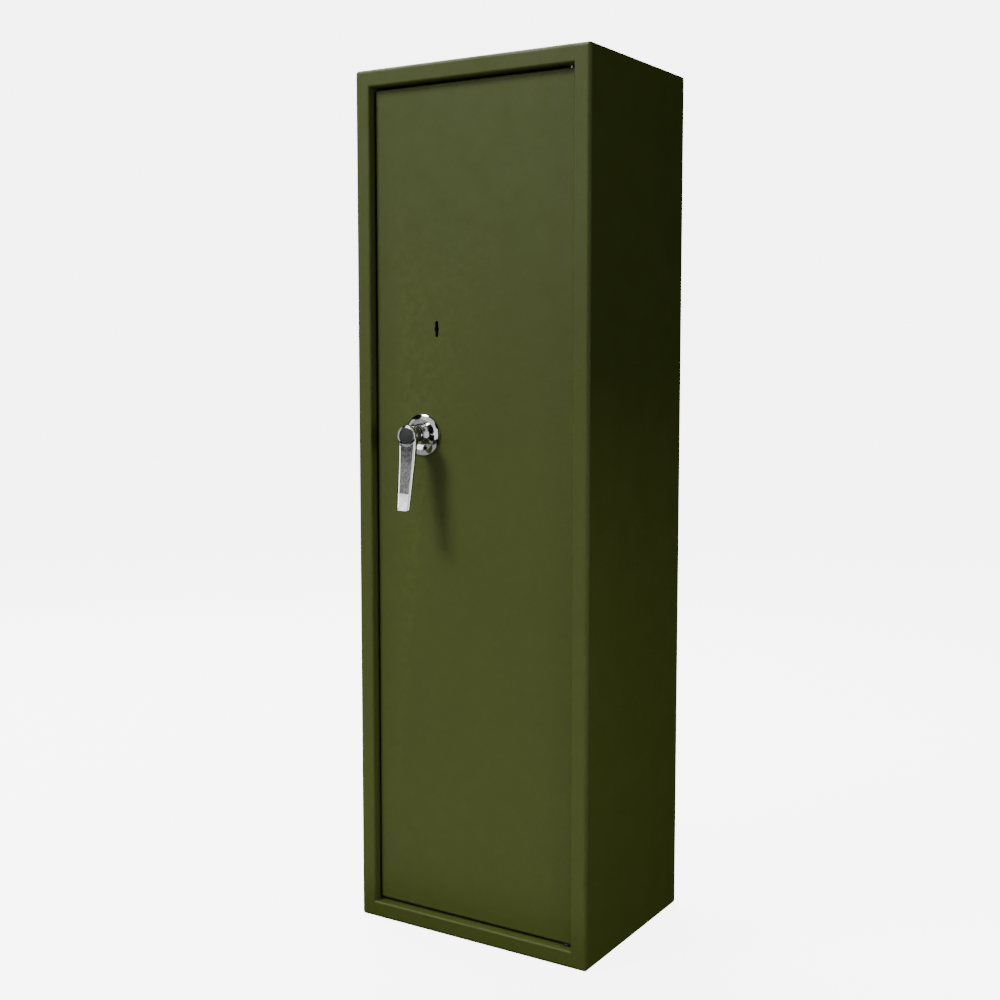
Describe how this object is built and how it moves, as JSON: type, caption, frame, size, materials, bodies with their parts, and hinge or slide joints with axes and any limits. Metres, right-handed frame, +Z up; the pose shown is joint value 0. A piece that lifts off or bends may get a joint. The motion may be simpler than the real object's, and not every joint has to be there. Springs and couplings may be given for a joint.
{
  "type": "gun safe",
  "caption": "Tall narrow sheet-steel cabinet safe with one hinged recessed door, a hanging lever handle, a key lock and side bolts; shelf, barrel rest and mat inside.",
  "frame": {"origin": "centre of the base's underside", "axes": "+Z up; the door faces -Y; +X to the right seen from the front"},
  "size_m": [0.4, 0.343, 1.3],
  "materials": {
    "olive_powder_coat": "fine satin powder coat",
    "grey_paint": "satin paint",
    "bright_chrome": "polished",
    "dark_cap": "satin",
    "zinc_plate": "zinc plated",
    "bright_steel": "turned and ground",
    "black_plastic": "matt",
    "black_foam": "closed-cell foam",
    "grey_felt": "needled felt"
  },
  "bodies": {
    "root": {"left_side_panel": "olive_powder_coat", "right_side_panel": "olive_powder_coat", "roof_panel": "olive_powder_coat", "floor_panel": "olive_powder_coat", "back_panel": "olive_powder_coat", "upper_hinge_block": "olive_powder_coat", "lower_hinge_block": "olive_powder_coat", "hinge_thrust_washer": "black_plastic", "back_anchor_plug_1": "black_plastic", "back_anchor_plug_2": "black_plastic", "back_anchor_plug_3": "black_plastic", "back_anchor_plug_4": "black_plastic", "floor_anchor_plug_1": "black_plastic", "floor_anchor_plug_2": "black_plastic", "barrel_rest": "olive_powder_coat", "barrel_rest_foam": "black_foam", "barrel_rest_screw_1": "zinc_plate", "barrel_rest_screw_2": "zinc_plate", "top_shelf": "olive_powder_coat", "left_shelf_bracket": "olive_powder_coat", "right_shelf_bracket": "olive_powder_coat", "floor_mat": "grey_felt"},
    "door": {"door_skin": "olive_powder_coat", "bolt_guide_channel": "zinc_plate", "hinge_dead_bar": "zinc_plate", "door_stiffener": "zinc_plate", "upper_pin_carrier": "zinc_plate", "lower_pin_carrier": "zinc_plate", "upper_hinge_pin": "bright_steel", "lower_hinge_pin": "bright_steel", "mechanism_cover": "grey_paint", "cover_post_1": "zinc_plate", "cover_post_2": "zinc_plate", "cover_post_3": "zinc_plate", "cover_post_4": "zinc_plate", "cover_screw_1": "zinc_plate", "cover_screw_2": "zinc_plate", "cover_screw_3": "zinc_plate", "cover_screw_4": "zinc_plate", "handle_rose": "bright_chrome", "handle_bush": "zinc_plate", "handle_nut": "zinc_plate", "lock_case": "zinc_plate", "lock_cover": "zinc_plate"},
    "handle": {"handle_lever": "bright_chrome", "handle_cap": "dark_cap", "spindle": "bright_steel", "cam_disc": "zinc_plate", "cam_drive_pin": "bright_steel", "cam_screw": "zinc_plate"},
    "bolts": {"bolt_bar": "zinc_plate", "side_bolt_1": "bright_steel", "side_bolt_2": "bright_steel", "side_bolt_3": "bright_steel", "drive_arm": "zinc_plate", "lock_tab": "zinc_plate"},
    "lock_bolt": {"lock_bolt": "bright_steel"}
  },
  "joints": [
    {"name": "door_hinge", "type": "hinge", "parent": "root", "child": "door", "pos_m": [0.161, -0.1295, 0], "axis": [0, 0, 1], "range_deg": [0, 95]},
    {"name": "handle_turn", "type": "hinge", "parent": "door", "child": "handle", "pos_m": [-0.0865, -0.138, 0.759], "axis": [0, -1, 0], "range_deg": [0, 90]},
    {"name": "bolt_throw", "type": "slide", "parent": "door", "child": "bolts", "axis": [-1, 0, 0], "range_m": [0, 0.0161]},
    {"name": "lock_bolt_throw", "type": "slide", "parent": "door", "child": "lock_bolt", "axis": [0, 0, 1], "range_m": [0, 0.009]}
  ],
  "couplings": [
    {"joint": "bolt_throw", "follows": "handle_turn", "m_per_rad": 0.010186}
  ]
}
